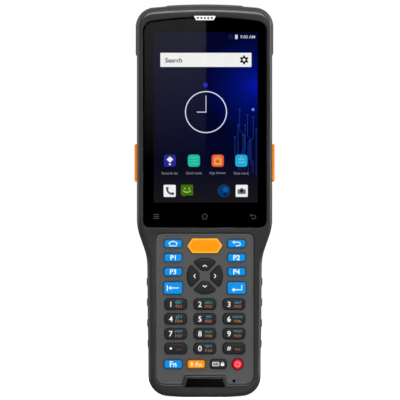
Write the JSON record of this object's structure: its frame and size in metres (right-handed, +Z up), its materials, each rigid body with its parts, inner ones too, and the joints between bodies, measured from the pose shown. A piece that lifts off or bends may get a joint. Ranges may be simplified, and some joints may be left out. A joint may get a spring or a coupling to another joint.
{
  "type": "handheld barcode data terminal",
  "caption": "Bar-shaped rugged handheld terminal: touch display above a waisted grip with keypad, scan window in the top end, side triggers, battery door and rubber port cover.",
  "frame": {"origin": "centre of the footprint on the flat foot, at the lowest point", "axes": "+Z up the length, from the foot to the scan window; -Y is the way the display faces; +X to the right as the display is looked at"},
  "size_m": [0.0706, 0.027, 0.198],
  "materials": {
    "housing": "fine spark-eroded texture",
    "bumper": "soft-touch overmould",
    "hood": "satin",
    "panel": "fine matte texture",
    "seal": "matte",
    "steel": "satin",
    "magnesium": "satin die-cast",
    "scan_window": "polished red filter",
    "glass": "polished",
    "engine": "satin",
    "display": "lit display",
    "grille": "satin",
    "mat": "matte silicone",
    "board": "solder mask",
    "badge": "gloss",
    "battery": "matte",
    "dark_plastic": "satin",
    "gold": "gold flash",
    "grip": "matte",
    "trigger": "satin",
    "key_dark": "satin silicone",
    "key_blue": "satin silicone",
    "key_orange": "satin silicone",
    "key_red": "satin silicone"
  },
  "bodies": {
    "root": {"front_housing": "housing", "rear_housing": "housing", "housing_gasket": "seal", "housing_screws": "steel", "top_bumper": "bumper", "scan_hood": "hood", "scan_window": "scan_window", "scan_engine": "engine", "cover_glass": "glass", "glass_gasket": "seal", "display_module": "display", "earpiece_grille": "grille", "loudspeakers": "engine", "keypad_panel": "panel", "keypad_mat": "mat", "keypad_board": "board", "badge_plate": "badge", "chassis": "magnesium", "main_board": "board", "camera_module": "engine", "camera_window": "glass", "battery_pack": "battery", "dock_plate": "dark_plastic", "dock_contacts": "gold", "side_grips": "grip", "usb_socket": "steel"},
    "battery_cover": {"battery_cover": "housing"},
    "coin_screw": {"coin_screw": "steel"},
    "port_cover": {"port_cover": "grip"},
    "left_trigger": {"left_trigger": "trigger"},
    "right_trigger": {"right_trigger": "trigger"},
    "key_home": {"key_home": "key_blue"},
    "key_back": {"key_back": "key_blue"},
    "key_p1": {"key_p1": "key_blue"},
    "key_p2": {"key_p2": "key_blue"},
    "key_p3": {"key_p3": "key_blue"},
    "key_p4": {"key_p4": "key_blue"},
    "key_tab": {"key_tab": "key_blue"},
    "key_enter": {"key_enter": "key_blue"},
    "key_scan": {"key_scan": "key_orange"},
    "key_up": {"key_up": "key_dark"},
    "key_left": {"key_left": "key_dark"},
    "key_down": {"key_down": "key_dark"},
    "key_right": {"key_right": "key_dark"},
    "key_1": {"key_1": "key_dark"},
    "key_2": {"key_2": "key_dark"},
    "key_3": {"key_3": "key_dark"},
    "key_4": {"key_4": "key_dark"},
    "key_5": {"key_5": "key_dark"},
    "key_6": {"key_6": "key_dark"},
    "key_7": {"key_7": "key_dark"},
    "key_8": {"key_8": "key_dark"},
    "key_9": {"key_9": "key_dark"},
    "key_dot": {"key_dot": "key_dark"},
    "key_0": {"key_0": "key_dark"},
    "key_hash": {"key_hash": "key_dark"},
    "key_fn": {"key_fn": "key_blue"},
    "key_alpha": {"key_alpha": "key_orange"},
    "key_lock": {"key_lock": "key_dark"},
    "key_power": {"key_power": "key_red"}
  },
  "joints": [
    {"name": "battery_cover_hinge", "type": "hinge", "parent": "root", "child": "battery_cover", "pos_m": [0, 0.0131, 0.0104], "axis": [-1, 0, 0], "range_deg": [0, 25]},
    {"name": "coin_screw_turn", "type": "hinge", "parent": "battery_cover", "child": "coin_screw", "pos_m": [0, 0.0131, 0.094], "axis": [0, 1, 0], "range_deg": [0, 90]},
    {"name": "port_cover_hinge", "type": "hinge", "parent": "root", "child": "port_cover", "pos_m": [0.0332, 0.004, 0.15565], "axis": [0, -1, 0], "range_deg": [0, 100]},
    {"name": "right_trigger_press", "type": "slide", "parent": "root", "child": "right_trigger", "axis": [-1, 0, 0], "range_m": [0, 0.0008], "stiffness_N_per_m": 3000, "springref_m": -0.0005},
    {"name": "left_trigger_press", "type": "slide", "parent": "root", "child": "left_trigger", "axis": [1, 0, 0], "range_m": [0, 0.0008], "stiffness_N_per_m": 3000, "springref_m": -0.0005},
    {"name": "key_scan_press", "type": "slide", "parent": "root", "child": "key_scan", "axis": [0, 1, 0], "range_m": [0, 0.0006], "stiffness_N_per_m": 2500, "springref_m": -0.0004},
    {"name": "key_up_press", "type": "slide", "parent": "root", "child": "key_up", "axis": [0, 1, 0], "range_m": [0, 0.0006], "stiffness_N_per_m": 2500, "springref_m": -0.0004},
    {"name": "key_left_press", "type": "slide", "parent": "root", "child": "key_left", "axis": [0, 1, 0], "range_m": [0, 0.0006], "stiffness_N_per_m": 2500, "springref_m": -0.0004},
    {"name": "key_down_press", "type": "slide", "parent": "root", "child": "key_down", "axis": [0, 1, 0], "range_m": [0, 0.0006], "stiffness_N_per_m": 2500, "springref_m": -0.0004},
    {"name": "key_right_press", "type": "slide", "parent": "root", "child": "key_right", "axis": [0, 1, 0], "range_m": [0, 0.0006], "stiffness_N_per_m": 2500, "springref_m": -0.0004},
    {"name": "key_power_press", "type": "slide", "parent": "root", "child": "key_power", "axis": [0, 1, 0], "range_m": [0, 0.0006], "stiffness_N_per_m": 2500, "springref_m": -0.0004},
    {"name": "key_home_press", "type": "slide", "parent": "root", "child": "key_home", "axis": [0, 1, 0], "range_m": [0, 0.0006], "stiffness_N_per_m": 2500, "springref_m": -0.0004},
    {"name": "key_back_press", "type": "slide", "parent": "root", "child": "key_back", "axis": [0, 1, 0], "range_m": [0, 0.0006], "stiffness_N_per_m": 2500, "springref_m": -0.0004},
    {"name": "key_fn_press", "type": "slide", "parent": "root", "child": "key_fn", "axis": [0, 1, 0], "range_m": [0, 0.0006], "stiffness_N_per_m": 2500, "springref_m": -0.0004},
    {"name": "key_alpha_press", "type": "slide", "parent": "root", "child": "key_alpha", "axis": [0, 1, 0], "range_m": [0, 0.0006], "stiffness_N_per_m": 2500, "springref_m": -0.0004},
    {"name": "key_lock_press", "type": "slide", "parent": "root", "child": "key_lock", "axis": [0, 1, 0], "range_m": [0, 0.0006], "stiffness_N_per_m": 2500, "springref_m": -0.0004},
    {"name": "key_enter_press", "type": "slide", "parent": "root", "child": "key_enter", "axis": [0, 1, 0], "range_m": [0, 0.0006], "stiffness_N_per_m": 2500, "springref_m": -0.0004},
    {"name": "key_tab_press", "type": "slide", "parent": "root", "child": "key_tab", "axis": [0, 1, 0], "range_m": [0, 0.0006], "stiffness_N_per_m": 2500, "springref_m": -0.0004},
    {"name": "key_p1_press", "type": "slide", "parent": "root", "child": "key_p1", "axis": [0, 1, 0], "range_m": [0, 0.0006], "stiffness_N_per_m": 2500, "springref_m": -0.0004},
    {"name": "key_p2_press", "type": "slide", "parent": "root", "child": "key_p2", "axis": [0, 1, 0], "range_m": [0, 0.0006], "stiffness_N_per_m": 2500, "springref_m": -0.0004},
    {"name": "key_p3_press", "type": "slide", "parent": "root", "child": "key_p3", "axis": [0, 1, 0], "range_m": [0, 0.0006], "stiffness_N_per_m": 2500, "springref_m": -0.0004},
    {"name": "key_p4_press", "type": "slide", "parent": "root", "child": "key_p4", "axis": [0, 1, 0], "range_m": [0, 0.0006], "stiffness_N_per_m": 2500, "springref_m": -0.0004},
    {"name": "key_5_press", "type": "slide", "parent": "root", "child": "key_5", "axis": [0, 1, 0], "range_m": [0, 0.0006], "stiffness_N_per_m": 2500, "springref_m": -0.0004},
    {"name": "key_1_press", "type": "slide", "parent": "root", "child": "key_1", "axis": [0, 1, 0], "range_m": [0, 0.0006], "stiffness_N_per_m": 2500, "springref_m": -0.0004},
    {"name": "key_2_press", "type": "slide", "parent": "root", "child": "key_2", "axis": [0, 1, 0], "range_m": [0, 0.0006], "stiffness_N_per_m": 2500, "springref_m": -0.0004},
    {"name": "key_3_press", "type": "slide", "parent": "root", "child": "key_3", "axis": [0, 1, 0], "range_m": [0, 0.0006], "stiffness_N_per_m": 2500, "springref_m": -0.0004},
    {"name": "key_4_press", "type": "slide", "parent": "root", "child": "key_4", "axis": [0, 1, 0], "range_m": [0, 0.0006], "stiffness_N_per_m": 2500, "springref_m": -0.0004},
    {"name": "key_6_press", "type": "slide", "parent": "root", "child": "key_6", "axis": [0, 1, 0], "range_m": [0, 0.0006], "stiffness_N_per_m": 2500, "springref_m": -0.0004},
    {"name": "key_7_press", "type": "slide", "parent": "root", "child": "key_7", "axis": [0, 1, 0], "range_m": [0, 0.0006], "stiffness_N_per_m": 2500, "springref_m": -0.0004},
    {"name": "key_8_press", "type": "slide", "parent": "root", "child": "key_8", "axis": [0, 1, 0], "range_m": [0, 0.0006], "stiffness_N_per_m": 2500, "springref_m": -0.0004},
    {"name": "key_9_press", "type": "slide", "parent": "root", "child": "key_9", "axis": [0, 1, 0], "range_m": [0, 0.0006], "stiffness_N_per_m": 2500, "springref_m": -0.0004},
    {"name": "key_0_press", "type": "slide", "parent": "root", "child": "key_0", "axis": [0, 1, 0], "range_m": [0, 0.0006], "stiffness_N_per_m": 2500, "springref_m": -0.0004},
    {"name": "key_dot_press", "type": "slide", "parent": "root", "child": "key_dot", "axis": [0, 1, 0], "range_m": [0, 0.0006], "stiffness_N_per_m": 2500, "springref_m": -0.0004},
    {"name": "key_hash_press", "type": "slide", "parent": "root", "child": "key_hash", "axis": [0, 1, 0], "range_m": [0, 0.0006], "stiffness_N_per_m": 2500, "springref_m": -0.0004}
  ]
}
